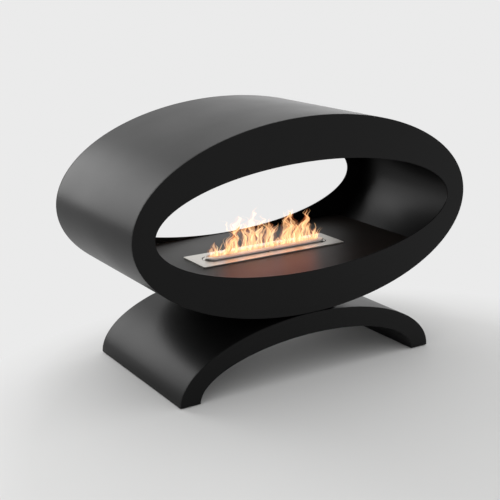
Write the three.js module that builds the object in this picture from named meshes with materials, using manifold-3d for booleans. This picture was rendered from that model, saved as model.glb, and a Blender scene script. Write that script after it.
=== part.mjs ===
// A free-standing bioethanol fireplace: an oval steel tunnel, open at the front and at the rear,
// that stands on an arched steel base. A stainless burner insert hangs in its flat hearth.
//
// Millimetres. X runs across the front, Y from the front to the rear, Z up from the floor.
// The origin is on the floor, under the middle of the object.

import * as THREE from 'three';
import { mergeVertices } from 'three/addons/utils/BufferGeometryUtils.js';
import Module from 'manifold-3d';

// Oval body
const bodyWidth = 900;
const bodyHeight = 450;
const bodyDepth = 396;
const skinThickness = 3;
const ringThickness = 3;
const ringSideBorder = 52.5; // from the outside of the oval to the fire opening, at mid height
const ringTopBorder = 100; // the same above and below the fire opening

// Hearth floor inside the body
const hearthDrop = 1; // from the lowest point of the opening down to the hearth
const hearthThickness = 3;
const angleLeg = 25; // both legs of the angles and rails under the hearth
const angleThickness = 3;
const railMargin = 3; // from the edge of the cut-out to a rail

// Arched base
const baseWidth = 700;
const baseRise = 152; // from the underside of the legs to the crown
const baseOverhang = 2; // of each cheek past the ring above it
const baseWall = 50; // from the top skin to the under skin
const baseSheet = 3;
const footPlateThickness = 4;
const padThickness = 2;
const padLength = 60;
const padInset = 8; // from the faces of a leg to its pad
const padEndInset = 20; // from the cheeks to a pad

// Joint between the base and the body
const boltDiameter = 8;
const boltHoleDiameter = 9;
const boltSpacingX = 100;
const boltEndDistance = 68; // from the face of a ring to the bolts
const boltFlangeDiameter = 17;
const boltFlangeThickness = 1.5;
const boltHeadAcrossFlats = 13;
const boltHeadHeight = 5.3;
const nutHeight = 6.5;
const nutBoreDiameter = 8.4;
const boltProtrusion = 3; // of the bolt past its nut
const crushTubeDiameter = 20;
const saddlePlateThickness = 4;
const saddlePlateMargin = 45; // past the bolts
const saddlePlateInset = 38; // from the face of a ring
const saddleStripInnerMargin = 22; // from the bolts towards the middle
const saddleStripOuterMargin = 36; // from the bolts outwards
const saddleStripInset = 33; // from the face of a ring

// Burner insert
const burnerPlateLength = 400;
const burnerPlateWidth = 100;
const burnerPlateThickness = 3;
const burnerPlateCorner = 3;
const plateEndBorder = 26; // from the ends of the plate to the slot
const plateSideBorder = 24; // from the long edges of the plate to the slot
const casingMargin = 12; // from the slot out to the faces of the casing
const casingCorner = 12;
const casingSheet = 2;
const cutOutClearance = 2; // round the casing, in the hearth
const grooveEnd = 10; // between the slot and the trough, at the round ends
const grooveSide = 11; // the same along the sides
const troughDepth = 56; // from the rolled lip to the underside
const troughSheet = 1.5;
const troughBottomRadius = 4;
const lipRadius = 2.5; // of the rolled lip, which sits on the level of the plate
const standHeight = 8;
const standWidth = 24;
const standLength = 44;
const standSheet = 1.5;
const standInset = 44; // from the end of the trough to the middle of a stand
const tabWidth = 8;
const tabThickness = 2;
const wickRecess = 5; // from the top of the lip down to the wick
const wickCrown = 2;

// Clearances
const seam = 0.1; // between flat faces that meet
const fit = 0.3; // between curved faces that meet
const seatGap = 0.3; // between the crown of the base and the bottom of the oval
const tabClearance = 0.6; // between a tab and the edge of the slot

// Facets
const ovalSegments = 48; // a half oval
const archSegments = 22; // a quarter of the arch
const roundSegments = 16; // a bolt hole
const cornerSegments = 6; // a quarter round
const bandSteps = 12; // along a curved strip
const weldDistance = 1e-4;

// Worked out from the sizes above
const bodyA = bodyWidth / 2;
const bodyB = bodyHeight / 2;
const bodyInnerA = bodyA - skinThickness;
const bodyInnerB = bodyB - skinThickness;
const bodyInsideDepth = bodyDepth - 2 * ringThickness;
const openingA = bodyA - ringSideBorder;
const openingB = bodyB - ringTopBorder;
const baseA = baseWidth / 2;
const baseB = baseRise;
const archA = baseA - baseWall; // the arch under the base
const archB = baseB - baseWall;
const baseDepth = bodyDepth + 2 * baseOverhang;
const baseInsideDepth = baseDepth - 2 * baseSheet;
const bodyCentre = baseRise + seatGap + bodyB; // above the underside of the legs
const hearthTop = -openingB - hearthDrop; // from the middle of the oval
const plateTop = seam + burnerPlateThickness; // from the hearth
const lipTop = plateTop + 2 * lipRadius;
const troughBottom = lipTop - troughDepth;
const casingBottom = troughBottom - 2 * seam - standHeight - casingSheet;
const slotLength = burnerPlateLength - 2 * plateEndBorder;
const slotWidth = burnerPlateWidth - 2 * plateSideBorder;
const troughLength = slotLength - 2 * grooveEnd;
const troughWidth = slotWidth - 2 * grooveSide;
const casingLength = slotLength + 2 * casingMargin;
const casingWidth = slotWidth + 2 * casingMargin;
const cutOutLength = casingLength + 2 * cutOutClearance;
const cutOutWidth = casingWidth + 2 * cutOutClearance;
const cutOutCorner = casingCorner + cutOutClearance;
const boltRadius = boltDiameter / 2;
const flangeRadius = boltFlangeDiameter / 2;
const boltX = boltSpacingX / 2;
const boltY = bodyDepth / 2 - boltEndDistance;
const boltPlaces = [
  { side: 'front_left', x: -boltX, y: -boltY },
  { side: 'front_right', x: boltX, y: -boltY },
  { side: 'rear_left', x: -boltX, y: boltY },
  { side: 'rear_right', x: boltX, y: boltY },
];

const blackCoat = new THREE.MeshStandardMaterial({ color: 0x232325, roughness: 0.5, metalness: 0.1 });
const stainless = new THREE.MeshStandardMaterial({ color: 0xb9b4ae, roughness: 0.35, metalness: 1 });
const zincSteel = new THREE.MeshStandardMaterial({ color: 0x9a9da0, roughness: 0.45, metalness: 1 });
const ceramicFibre = new THREE.MeshStandardMaterial({ color: 0xe9e2d6, roughness: 0.95, metalness: 0 });
const blackRubber = new THREE.MeshStandardMaterial({ color: 0x151515, roughness: 0.9, metalness: 0 });

const wasm = await Module();
wasm.setup();

// ---------------------------------------------------------------- solids

function toSolid(geometry) {
  const bare = geometry.clone();
  bare.deleteAttribute('normal');
  bare.deleteAttribute('uv');
  const merged = mergeVertices(bare, weldDistance);
  return new wasm.Manifold(new wasm.Mesh({
    numProp: 3,
    vertProperties: merged.attributes.position.array,
    triVerts: new Uint32Array(merged.index.array),
  }));
}

function toGeometry(solid) {
  const { vertProperties, triVerts } = solid.getMesh();
  const geometry = new THREE.BufferGeometry();
  geometry.setAttribute('position', new THREE.BufferAttribute(vertProperties, 3));
  geometry.setIndex(new THREE.BufferAttribute(triVerts, 1));
  geometry.computeVertexNormals();
  return geometry;
}

function cut(geometry, ...tools) {
  const solid = tools.reduce((left, tool) => left.subtract(toSolid(tool)), toSolid(geometry));
  return toGeometry(solid);
}

function join(geometry, ...others) {
  const solid = others.reduce((whole, other) => whole.add(toSolid(other)), toSolid(geometry));
  return toGeometry(solid);
}

function keepInside(geometry, region) {
  return toGeometry(toSolid(geometry).intersect(toSolid(region)));
}

// A box between two corners.
function block(low, high) {
  const size = high.map((value, axis) => value - low[axis]);
  const geometry = new THREE.BoxGeometry(...size);
  return geometry.translate(...low.map((value, axis) => value + size[axis] / 2));
}

// An upright cylinder from one height to another.
function post(radius, bottom, top, segments = roundSegments) {
  const geometry = new THREE.CylinderGeometry(radius, radius, top - bottom, segments);
  geometry.rotateX(Math.PI / 2);
  return geometry.translate(0, 0, (top + bottom) / 2);
}

// An outline drawn in X and Z, made into a solid of some depth about the middle plane.
function acrossDepth(outline, depth, curveSegments = 1) {
  const geometry = new THREE.ExtrudeGeometry(outline, { depth, bevelEnabled: false, curveSegments });
  geometry.rotateX(Math.PI / 2);
  return geometry.translate(0, depth / 2, 0);
}

// An outline drawn in Y and Z, made into a solid of some length about the middle.
function acrossWidth(outline, length) {
  const geometry = new THREE.ExtrudeGeometry(outline, { depth: length, bevelEnabled: false });
  geometry.translate(0, 0, -length / 2);
  const turn = new THREE.Matrix4().makeBasis(
    new THREE.Vector3(0, 1, 0),
    new THREE.Vector3(0, 0, 1),
    new THREE.Vector3(1, 0, 0),
  );
  return geometry.applyMatrix4(turn);
}

// An outline drawn in X and Y, made into a plate from one height to another.
function upright(outline, bottom, top) {
  const geometry = new THREE.ExtrudeGeometry(outline, {
    depth: top - bottom,
    bevelEnabled: false,
    curveSegments: cornerSegments,
  });
  return geometry.translate(0, 0, bottom);
}

// ---------------------------------------------------------------- outlines

function polygon(points) {
  return new THREE.Shape(points.map(([x, y]) => new THREE.Vector2(x, y)));
}

// How far an ellipse of half-axes a and b lies above its centre line, at x from its middle.
function ellipseHeight(a, b, x) {
  return b * Math.sqrt(1 - (x / a) ** 2);
}

function oval(a, b) {
  return new THREE.Shape().absellipse(0, 0, a, b, 0, 2 * Math.PI, false);
}

function ovalRing(outerA, outerB, innerA, innerB) {
  const outline = oval(outerA, outerB);
  outline.holes.push(oval(innerA, innerB));
  return outline;
}

// The arch between two half ellipses on one floor line.
function arch(outerA, outerB, innerA, innerB) {
  const outline = new THREE.Shape();
  outline.moveTo(outerA, 0);
  outline.absellipse(0, 0, outerA, outerB, 0, Math.PI, false);
  outline.lineTo(-innerA, 0);
  outline.absellipse(0, 0, innerA, innerB, Math.PI, 0, true);
  outline.closePath();
  return outline;
}

// The band between two curves, each a height for every x.
function band(lower, upper, fromX, toX) {
  const places = Array.from({ length: bandSteps + 1 }, (_, i) => fromX + ((toX - fromX) * i) / bandSteps);
  const below = places.map((x) => [x, lower(x)]);
  const above = places.map((x) => [x, upper(x)]).reverse();
  return polygon([...below, ...above]);
}

function roundedRectangle(length, width, radius) {
  const x = length / 2 - radius;
  const y = width / 2 - radius;
  const outline = new THREE.Shape();
  outline.absarc(x, y, radius, 0, Math.PI / 2, false);
  outline.absarc(-x, y, radius, Math.PI / 2, Math.PI, false);
  outline.absarc(-x, -y, radius, Math.PI, 1.5 * Math.PI, false);
  outline.absarc(x, -y, radius, 1.5 * Math.PI, 2 * Math.PI, false);
  outline.closePath();
  return outline;
}

function stadium(length, width) {
  const straight = (length - width) / 2;
  const outline = new THREE.Shape();
  outline.absarc(straight, 0, width / 2, -Math.PI / 2, Math.PI / 2, false);
  outline.absarc(-straight, 0, width / 2, Math.PI / 2, 1.5 * Math.PI, false);
  outline.closePath();
  return outline;
}

// One level of a pressed tank: a rounded rectangle grown outwards by grow, at height z.
function tankRing({ length, width, radius }, grow, z) {
  const points = [];
  const corners = [[1, 1], [-1, 1], [-1, -1], [1, -1]];
  corners.forEach(([sideX, sideY], corner) => {
    for (let i = 0; i <= cornerSegments; i += 1) {
      const angle = (corner + i / cornerSegments) * (Math.PI / 2);
      const x = sideX * (length / 2 - radius) + (radius + grow) * Math.cos(angle);
      const y = sideY * (width / 2 - radius) + (radius + grow) * Math.sin(angle);
      points.push([x, y, z]);
    }
  });
  return points;
}

// A closed solid through the levels of a profile of [grow, height] steps. The first level is
// closed downwards and the last one upwards, so a profile that turns down again makes a tank.
function tank(plan, profile) {
  const rings = profile.map(([grow, z]) => tankRing(plan, grow, z));
  const count = rings[0].length;
  const last = (rings.length - 1) * count;
  const index = [];
  for (let ring = 0; ring < rings.length - 1; ring += 1) {
    for (let i = 0; i < count; i += 1) {
      const here = ring * count + i;
      const next = ring * count + ((i + 1) % count);
      index.push(here, next, next + count, here, next + count, here + count);
    }
  }
  for (let i = 1; i < count - 1; i += 1) {
    index.push(0, i + 1, i);
    index.push(last, last + i, last + i + 1);
  }
  const geometry = new THREE.BufferGeometry();
  geometry.setAttribute('position', new THREE.Float32BufferAttribute(rings.flat(2), 3));
  geometry.setIndex(index);
  return toGeometry(toSolid(geometry));
}

// ---------------------------------------------------------------- oval body
// Its group has its origin in the middle of the oval.

function boltHoles(bottom, top) {
  return boltPlaces.map(({ x, y }) => post(boltHoleDiameter / 2, bottom, top).translate(x, y, 0));
}

function outerShell() {
  const outline = ovalRing(bodyA, bodyB, bodyInnerA, bodyInnerB);
  const tube = acrossDepth(outline, bodyInsideDepth - 2 * seam, ovalSegments);
  return cut(tube, ...boltHoles(-bodyB - fit, -bodyB / 2));
}

function fireRing() {
  return acrossDepth(ovalRing(bodyA, bodyB, openingA, openingB), ringThickness, ovalSegments);
}

// The room inside the rolled skin, which the hearth and its angles are cut to.
function insideBody(geometry) {
  const outline = oval(bodyInnerA - fit, bodyInnerB - fit);
  const room = acrossDepth(outline, bodyInsideDepth - 2 * seam, ovalSegments);
  return keepInside(geometry, room);
}

function hearthPlate() {
  const sheet = block(
    [-bodyA, -bodyDepth / 2, hearthTop - hearthThickness],
    [bodyA, bodyDepth / 2, hearthTop],
  );
  const hole = roundedRectangle(cutOutLength, cutOutWidth, cutOutCorner);
  const punch = upright(hole, hearthTop - 2 * hearthThickness, hearthTop + hearthThickness);
  return cut(insideBody(sheet), punch);
}

const underHearth = hearthTop - hearthThickness - seam;

// An angle along a ring: one leg on the ring, the other under the hearth. side is -1 at the front.
function hearthAngle(side) {
  const outer = side * (bodyInsideDepth / 2 - seam);
  const legFace = outer - side * angleThickness;
  const legEnd = outer - side * angleLeg;
  const outline = polygon([
    [outer, underHearth],
    [outer, underHearth - angleLeg],
    [legFace, underHearth - angleLeg],
    [legFace, underHearth - angleThickness],
    [legEnd, underHearth - angleThickness],
    [legEnd, underHearth],
  ]);
  return insideBody(acrossWidth(outline, bodyWidth));
}

// A rail from one angle to the other beside the cut-out. side is -1 at the left.
function burnerRail(side) {
  const inner = side * (cutOutLength / 2 + railMargin);
  const legFace = inner + side * angleThickness;
  const legEnd = inner + side * angleLeg;
  const outline = polygon([
    [inner, underHearth],
    [inner, underHearth - angleLeg],
    [legFace, underHearth - angleLeg],
    [legFace, underHearth - angleThickness],
    [legEnd, underHearth - angleThickness],
    [legEnd, underHearth],
  ]);
  return acrossDepth(outline, bodyInsideDepth - 2 * (angleLeg + 2 * seam));
}

const saddleLowerA = bodyInnerA - fit;
const saddleLowerB = bodyInnerB - fit;
const saddleUpperA = saddleLowerA - saddlePlateThickness;
const saddleUpperB = saddleLowerB - saddlePlateThickness;

// The doubler on the inside of the rolled skin.
function saddlePlate() {
  const outline = band(
    (x) => -ellipseHeight(saddleLowerA, saddleLowerB, x),
    (x) => -ellipseHeight(saddleUpperA, saddleUpperB, x),
    -boltX - saddlePlateMargin,
    boltX + saddlePlateMargin,
  );
  const plate = acrossDepth(outline, bodyDepth - 2 * saddlePlateInset);
  return cut(plate, ...boltHoles(-bodyB - fit, -bodyB / 2));
}

// ---------------------------------------------------------------- arched base
// Its group, and that of the joint, has its origin on the underside of the legs.

function archTopSkin() {
  const outline = arch(baseA, baseB, baseA - baseSheet, baseB - baseSheet);
  const skin = acrossDepth(outline, baseInsideDepth - 2 * seam, archSegments);
  return cut(skin, ...boltHoles(archB, baseB + fit));
}

function archUnderSkin() {
  const outline = arch(archA + baseSheet, archB + baseSheet, archA, archB);
  const skin = acrossDepth(outline, baseInsideDepth - 2 * seam, archSegments);
  return cut(skin, ...boltHoles(archB / 2, baseB));
}

function archCheek() {
  return acrossDepth(arch(baseA, baseB, archA, archB), baseSheet, archSegments);
}

function roomInArch(depth) {
  const outline = arch(
    baseA - baseSheet - fit,
    baseB - baseSheet - fit,
    archA + baseSheet + fit,
    archB + baseSheet + fit,
  );
  return acrossDepth(outline, depth, archSegments);
}

// A plate that closes a leg at the floor. side is -1 at the left.
function footPlate(side) {
  const x = side * (baseA - baseWall / 2);
  const sheet = block(
    [x - baseWall, -baseDepth / 2, 0],
    [x + baseWall, baseDepth / 2, footPlateThickness],
  );
  return keepInside(sheet, roomInArch(baseInsideDepth - 2 * seam));
}

// The rib between the two skins, which stands on the foot plates.
function archRib() {
  const feet = block([-baseA, -baseSheet, -seam], [baseA, baseSheet, footPlateThickness + seam]);
  return cut(roomInArch(baseSheet), feet);
}

function floorPad() {
  const halfWidth = baseWall / 2 - padInset;
  return block([-halfWidth, -padLength / 2, -padThickness], [halfWidth, padLength / 2, -seam]);
}

// ---------------------------------------------------------------- joint of base and body

function crushTube({ x, y }) {
  const tube = post(crushTubeDiameter / 2, 0, baseB).translate(x, y, 0);
  const bore = post(boltHoleDiameter / 2, -fit, baseB + fit).translate(x, y, 0);
  return cut(keepInside(tube, roomInArch(baseInsideDepth - 2 * seam)), bore);
}

// A wedge strip that fills the gap from the crown of the base to the oval. side is -1 at the left.
function saddleStrip(side) {
  const edges = [side * (boltX - saddleStripInnerMargin), side * (boltX + saddleStripOuterMargin)];
  const outline = band(
    (x) => ellipseHeight(baseA, baseB, x) + fit / 2,
    (x) => bodyCentre - ellipseHeight(bodyA, bodyB, x) - fit / 2,
    Math.min(...edges),
    Math.max(...edges),
  );
  const strip = acrossDepth(outline, bodyDepth - 2 * saddleStripInset);
  return cut(strip, ...boltHoles(archB, bodyCentre));
}

// The bolts stand on slightly sloping skins, so each seat is taken at the edge of its flange.
const seatX = boltX + flangeRadius;
const boltSeat = ellipseHeight(archA, archB, seatX) - seam;
const nutSeat = bodyCentre - ellipseHeight(saddleUpperA, saddleUpperB, seatX) + seam;

function hexagon(bottom, top) {
  return post(boltHeadAcrossFlats / Math.sqrt(3), bottom, top, 6);
}

function jointBolt() {
  const flangeBottom = boltSeat - boltFlangeThickness;
  const end = nutSeat + boltFlangeThickness + nutHeight + boltProtrusion;
  return join(
    hexagon(flangeBottom - boltHeadHeight, flangeBottom),
    post(flangeRadius, flangeBottom, boltSeat),
    post(boltRadius, boltSeat, end),
  );
}

function jointNut() {
  const flangeTop = nutSeat + boltFlangeThickness;
  const nut = join(post(flangeRadius, nutSeat, flangeTop), hexagon(flangeTop, flangeTop + nutHeight));
  return cut(nut, post(nutBoreDiameter / 2, nutSeat - fit, flangeTop + nutHeight + fit));
}

// ---------------------------------------------------------------- burner insert
// Its group has its origin on the hearth, in the middle of the cut-out.

function burnerPlate() {
  const outline = roundedRectangle(burnerPlateLength, burnerPlateWidth, burnerPlateCorner);
  outline.holes.push(stadium(slotLength, slotWidth));
  return upright(outline, seam, plateTop);
}

function burnerCasing() {
  const plan = { length: casingLength, width: casingWidth, radius: casingCorner };
  return tank(plan, [
    [0, casingBottom],
    [0, 0],
    [-casingSheet, 0],
    [-casingSheet, casingBottom + casingSheet],
  ]);
}

// An upturned channel on the floor of the casing.
function troughStand() {
  const foot = casingBottom + casingSheet + seam;
  const top = troughBottom - seam;
  const half = standWidth / 2;
  const outline = polygon([
    [-half, foot],
    [-half + standSheet, foot],
    [-half + standSheet, top - standSheet],
    [half - standSheet, top - standSheet],
    [half - standSheet, foot],
    [half, foot],
    [half, top],
    [-half, top],
  ]);
  return acrossDepth(outline, standLength);
}

// The round-ended fuel trough: a pressed tank with a rounded bottom edge and a rolled lip.
function fuelTrough() {
  const plan = { length: troughLength, width: troughWidth, radius: troughWidth / 2 };
  const bottomEdge = quarterRound(troughBottomRadius, (cos, sin) => [
    troughBottomRadius * (cos - 1),
    troughBottom + troughBottomRadius * (1 - sin),
  ]);
  const lipCentre = lipRadius - troughSheet;
  const lipStart = Math.PI + Math.acos(lipCentre / lipRadius); // where the roll leaves the wall
  const lipTurn = 3 * Math.PI - lipStart;
  const lip = Array.from({ length: 2 * cornerSegments + 1 }, (_, i) => {
    const angle = lipStart + (lipTurn * i) / (2 * cornerSegments);
    return [
      lipCentre + lipRadius * Math.cos(angle),
      lipTop - lipRadius + lipRadius * Math.sin(angle),
    ];
  });
  return tank(plan, [...bottomEdge, ...lip, [-troughSheet, troughBottom + troughSheet]]);
}

// Steps of a quarter round, from pointing down to pointing out.
function quarterRound(radius, place) {
  return Array.from({ length: cornerSegments / 2 + 1 }, (_, i) => {
    const angle = (Math.PI / 2) * (1 - i / (cornerSegments / 2));
    return place(Math.cos(angle), Math.sin(angle));
  });
}

// A tab that centres the trough in the slot. side is -1 at the front.
function troughTab(side) {
  const ends = [side * (troughWidth / 2 + seam), side * (slotWidth / 2 - tabClearance)];
  return block(
    [-tabWidth / 2, Math.min(...ends), plateTop - seam - tabThickness],
    [tabWidth / 2, Math.max(...ends), plateTop - seam],
  );
}

function ceramicWick() {
  const grow = -troughSheet - fit;
  const top = lipTop - wickRecess;
  const plan = { length: troughLength, width: troughWidth, radius: troughWidth / 2 };
  return tank(plan, [
    [grow, troughBottom + troughSheet + seam],
    [grow, top - wickCrown],
    [grow - wickCrown, top - wickCrown / 3],
    [grow - 2 * wickCrown, top],
  ]);
}

// ---------------------------------------------------------------- assembly

function piece(group, name, geometry, material, x = 0, y = 0, z = 0) {
  const mesh = new THREE.Mesh(geometry, material);
  mesh.name = name;
  mesh.position.set(x, y, z);
  group.add(mesh);
}

function ovalBody() {
  const group = new THREE.Group();
  const ringPlace = (bodyDepth - ringThickness) / 2;
  piece(group, 'outer_shell', outerShell(), blackCoat);
  piece(group, 'front_ring', fireRing(), blackCoat, 0, -ringPlace, 0);
  piece(group, 'rear_ring', fireRing(), blackCoat, 0, ringPlace, 0);
  piece(group, 'hearth_plate', hearthPlate(), blackCoat);
  piece(group, 'hearth_angle_front', hearthAngle(-1), blackCoat);
  piece(group, 'hearth_angle_rear', hearthAngle(1), blackCoat);
  piece(group, 'burner_rail_left', burnerRail(-1), blackCoat);
  piece(group, 'burner_rail_right', burnerRail(1), blackCoat);
  piece(group, 'saddle_plate', saddlePlate(), blackCoat);
  return group;
}

function archedBase() {
  const group = new THREE.Group();
  const cheekPlace = (baseDepth - baseSheet) / 2;
  const padX = baseA - baseWall / 2;
  const padY = baseDepth / 2 - padEndInset - padLength / 2;
  piece(group, 'arch_top_skin', archTopSkin(), blackCoat);
  piece(group, 'arch_under_skin', archUnderSkin(), blackCoat);
  piece(group, 'arch_front_cheek', archCheek(), blackCoat, 0, -cheekPlace, 0);
  piece(group, 'arch_rear_cheek', archCheek(), blackCoat, 0, cheekPlace, 0);
  piece(group, 'arch_mid_rib', archRib(), blackCoat);
  piece(group, 'foot_plate_left', footPlate(-1), blackCoat);
  piece(group, 'foot_plate_right', footPlate(1), blackCoat);
  piece(group, 'floor_pad_front_left', floorPad(), blackRubber, -padX, -padY, 0);
  piece(group, 'floor_pad_front_right', floorPad(), blackRubber, padX, -padY, 0);
  piece(group, 'floor_pad_rear_left', floorPad(), blackRubber, -padX, padY, 0);
  piece(group, 'floor_pad_rear_right', floorPad(), blackRubber, padX, padY, 0);
  return group;
}

function saddleJoint() {
  const group = new THREE.Group();
  piece(group, 'saddle_strip_left', saddleStrip(-1), blackRubber);
  piece(group, 'saddle_strip_right', saddleStrip(1), blackRubber);
  boltPlaces.forEach((place) => {
    piece(group, `crush_tube_${place.side}`, crushTube(place), zincSteel);
    piece(group, `joint_bolt_${place.side}`, jointBolt(), zincSteel, place.x, place.y, 0);
    piece(group, `joint_nut_${place.side}`, jointNut(), zincSteel, place.x, place.y, 0);
  });
  return group;
}

function burnerInsert() {
  const group = new THREE.Group();
  const trough = new THREE.Group();
  piece(group, 'burner_plate', burnerPlate(), stainless);
  piece(group, 'burner_casing', burnerCasing(), stainless);
  const standX = troughLength / 2 - standInset;
  piece(group, 'trough_stand_left', troughStand(), stainless, -standX, 0, 0);
  piece(group, 'trough_stand_right', troughStand(), stainless, standX, 0, 0);
  piece(trough, 'fuel_trough', fuelTrough(), stainless);
  piece(trough, 'trough_tab_front', troughTab(-1), stainless);
  piece(trough, 'trough_tab_rear', troughTab(1), stainless);
  piece(trough, 'ceramic_wick', ceramicWick(), ceramicFibre);
  group.add(trough);
  return group;
}

const fireplace = new THREE.Group();
const base = archedBase();
const joint = saddleJoint();
const body = ovalBody();
const burner = burnerInsert();
base.position.z = padThickness;
joint.position.z = padThickness;
body.position.z = padThickness + bodyCentre;
burner.position.z = hearthTop;
body.add(burner);
fireplace.add(base, joint, body);

export default fireplace;
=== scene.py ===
# %% [markdown]
# # An oval bioethanol fireplace
#
# The object is a short steel tunnel with an oval outline. It stands on an arched base, it is open
# at the front and at the rear, and a slotted stainless burner hangs in its flat hearth.
#
# A maker's model of it already exists as plain solids, one for each sub-part, at the real size in
# metres. They are loaded first and stay where they are. This script gives each visible sheet a
# smooth, edge-rounded form and a finish, lights the fire, and sets up a small studio round it.

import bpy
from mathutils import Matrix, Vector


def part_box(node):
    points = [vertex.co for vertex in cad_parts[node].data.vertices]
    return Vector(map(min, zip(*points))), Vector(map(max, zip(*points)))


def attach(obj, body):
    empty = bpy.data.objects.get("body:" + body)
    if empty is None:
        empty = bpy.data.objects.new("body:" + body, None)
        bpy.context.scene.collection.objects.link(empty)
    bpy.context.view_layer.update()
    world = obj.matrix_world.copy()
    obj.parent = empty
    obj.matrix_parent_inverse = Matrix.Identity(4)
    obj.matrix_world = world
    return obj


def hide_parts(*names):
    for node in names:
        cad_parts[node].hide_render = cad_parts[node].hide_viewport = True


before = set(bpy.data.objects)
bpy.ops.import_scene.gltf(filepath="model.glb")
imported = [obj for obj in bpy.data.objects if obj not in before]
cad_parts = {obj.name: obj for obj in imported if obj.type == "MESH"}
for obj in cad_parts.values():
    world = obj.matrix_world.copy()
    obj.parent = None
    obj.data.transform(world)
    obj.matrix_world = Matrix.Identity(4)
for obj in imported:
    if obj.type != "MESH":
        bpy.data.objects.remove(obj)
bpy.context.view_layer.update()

# %% Tools used below
import math

import bmesh
import bpy
from mathutils import Matrix, Vector

MM = 0.001
TINY = 1e-6
NEAR = 1e-5

# %% [markdown]
# ## Working by operators
#
# An operator acts on whatever is selected, so each step below first clears the selection. A new
# primitive has its place applied to its mesh at once. From then on, a corner's coordinates are
# its true place in the room, and faces can be chosen by where they are.


# %% Selecting and adding
def deselect():
    if bpy.context.object and bpy.context.object.mode != "OBJECT":
        bpy.ops.object.mode_set(mode="OBJECT")
    bpy.ops.object.select_all(action="DESELECT")


def take(piece):
    deselect()
    piece.select_set(True)
    bpy.context.view_layer.objects.active = piece


def apply_place(piece):
    take(piece)
    bpy.ops.object.transform_apply(location=True, rotation=True, scale=True)


def add(name, operator, scale=(1, 1, 1), **settings):
    """A new primitive whose place and size are in its mesh."""
    deselect()
    operator(**settings)
    piece = bpy.context.object
    piece.name = piece.data.name = name
    piece.scale = scale
    apply_place(piece)
    return piece


def edit(piece, kind="VERT", wanted=None):
    """Opens a piece in edit mode with the wanted vertices, edges or faces selected, or all."""
    take(piece)
    bpy.ops.object.mode_set(mode="EDIT")
    bpy.ops.mesh.select_mode(type=kind)
    bpy.ops.mesh.select_all(action="SELECT" if wanted is None else "DESELECT")
    if wanted is not None:
        form = bmesh.from_edit_mesh(piece.data)
        for item in {"VERT": form.verts, "EDGE": form.edges, "FACE": form.faces}[kind]:
            corners = [item] if kind == "VERT" else list(item.verts)
            middle = sum((v.co for v in corners), Vector()) / len(corners)
            item.select_set(bool(wanted(middle, item)))
        form.select_flush_mode()
        bmesh.update_edit_mesh(piece.data)


def modify(piece, kind, **values):
    """Adds a modifier and applies it."""
    take(piece)
    bpy.ops.object.modifier_add(type=kind)
    modifier = piece.modifiers[-1]
    for name, value in values.items():
        setattr(modifier, name, value)
    bpy.ops.object.modifier_apply(modifier=modifier.name)


def extrude(step):
    bpy.ops.mesh.extrude_region_move(TRANSFORM_OT_translate={"value": step})


def tidy(piece, merge=TINY):
    """Merges doubles, turns all faces outwards and leaves edit mode."""
    edit(piece)
    bpy.ops.mesh.remove_doubles(threshold=merge)
    bpy.ops.mesh.normals_make_consistent(inside=False)
    deselect()


def smooth(piece, angle=35):
    take(piece)
    bpy.ops.object.shade_smooth_by_angle(angle=math.radians(angle))


def round_edges(piece, width):
    """Rounds the sharp edges and shades all but them smooth."""
    sharp = math.radians(40)
    modify(piece, "BEVEL", width=width, segments=2, limit_method="ANGLE", angle_limit=sharp)
    smooth(piece)


def remove(piece):
    take(piece)
    bpy.ops.object.delete()


def cut(piece, cutter):
    """Takes the cutter's form out of the piece, and the cutter away."""
    modify(piece, "BOOLEAN", operation="DIFFERENCE", solver="EXACT", object=cutter)
    remove(cutter)


def join(pieces):
    """Joins pieces into the first of them."""
    deselect()
    for piece in pieces:
        piece.select_set(True)
    bpy.context.view_layer.objects.active = pieces[0]
    bpy.ops.object.join()
    return bpy.context.object


def tell(*pieces):
    for piece in pieces:
        print(piece.name, len(piece.data.polygons), "faces")


def clouds(name, size, depth):
    """A cloud texture to push a surface about with."""
    texture = bpy.data.textures.new(name, "CLOUDS")
    texture.noise_scale = size
    texture.noise_depth = depth
    return texture


def push(piece, group, texture, direction, strength, middle=0.5):
    """Moves a group of a piece's points along one direction, as far as a texture says."""
    source = {"texture": texture, "texture_coords": "GLOBAL", "mid_level": middle}
    modify(piece, "DISPLACE", vertex_group=group, direction=direction, strength=strength, **source)


# %% [markdown]
# ## Sizes taken from the solids
#
# Nothing is measured twice: the ovals, the arch and the burner are read from the boxes of the
# solids, so a piece made here lies exactly where its solid does.

# %% Read the sizes
skin_low, skin_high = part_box("outer_shell")
base_low, base_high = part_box("arch_top_skin")
arch_low, arch_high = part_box("arch_under_skin")
plate_low, plate_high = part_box("burner_plate")
trough_low, trough_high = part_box("fuel_trough")
middle_of = {node: sum(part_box(node), Vector()) / 2 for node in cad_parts}
body_middle = middle_of["outer_shell"]
body_a = (skin_high.x - skin_low.x) / 2
body_b = (skin_high.z - skin_low.z) / 2
SHEET = 3 * MM
SIDE_BORDER = 52.5 * MM  # between the fire opening and the outside of the oval, at the sides
TOP_BORDER = 100 * MM  # the same above and below the opening
OVAL_STEPS = 192
print("oval", round(2 * body_a, 3), "x", round(2 * body_b, 3), "m, middle", body_middle[:])

# %% [markdown]
# ## The oval skin
#
# The real skin is one long sheet of 3 mm steel, rolled to an oval and welded. It could be an
# extruded outline, but the natural way is the maker's: an open tube of no thickness, drawn to an
# oval, that is then given the thickness of its sheet towards the inside. The four holes for the
# joint bolts are cut, and its edges are rounded by less than a millimetre, as if deburred.


# %% An open tube with an oval outline
def oval(name, operator, half_width, half_height, middle, length=1, **settings):
    """A round primitive, turned to face the front and scaled to an oval."""
    settings.update(vertices=OVAL_STEPS, radius=1, location=middle, rotation=(math.pi / 2, 0, 0))
    return add(name, operator, (half_width, half_height, length), **settings)


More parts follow.
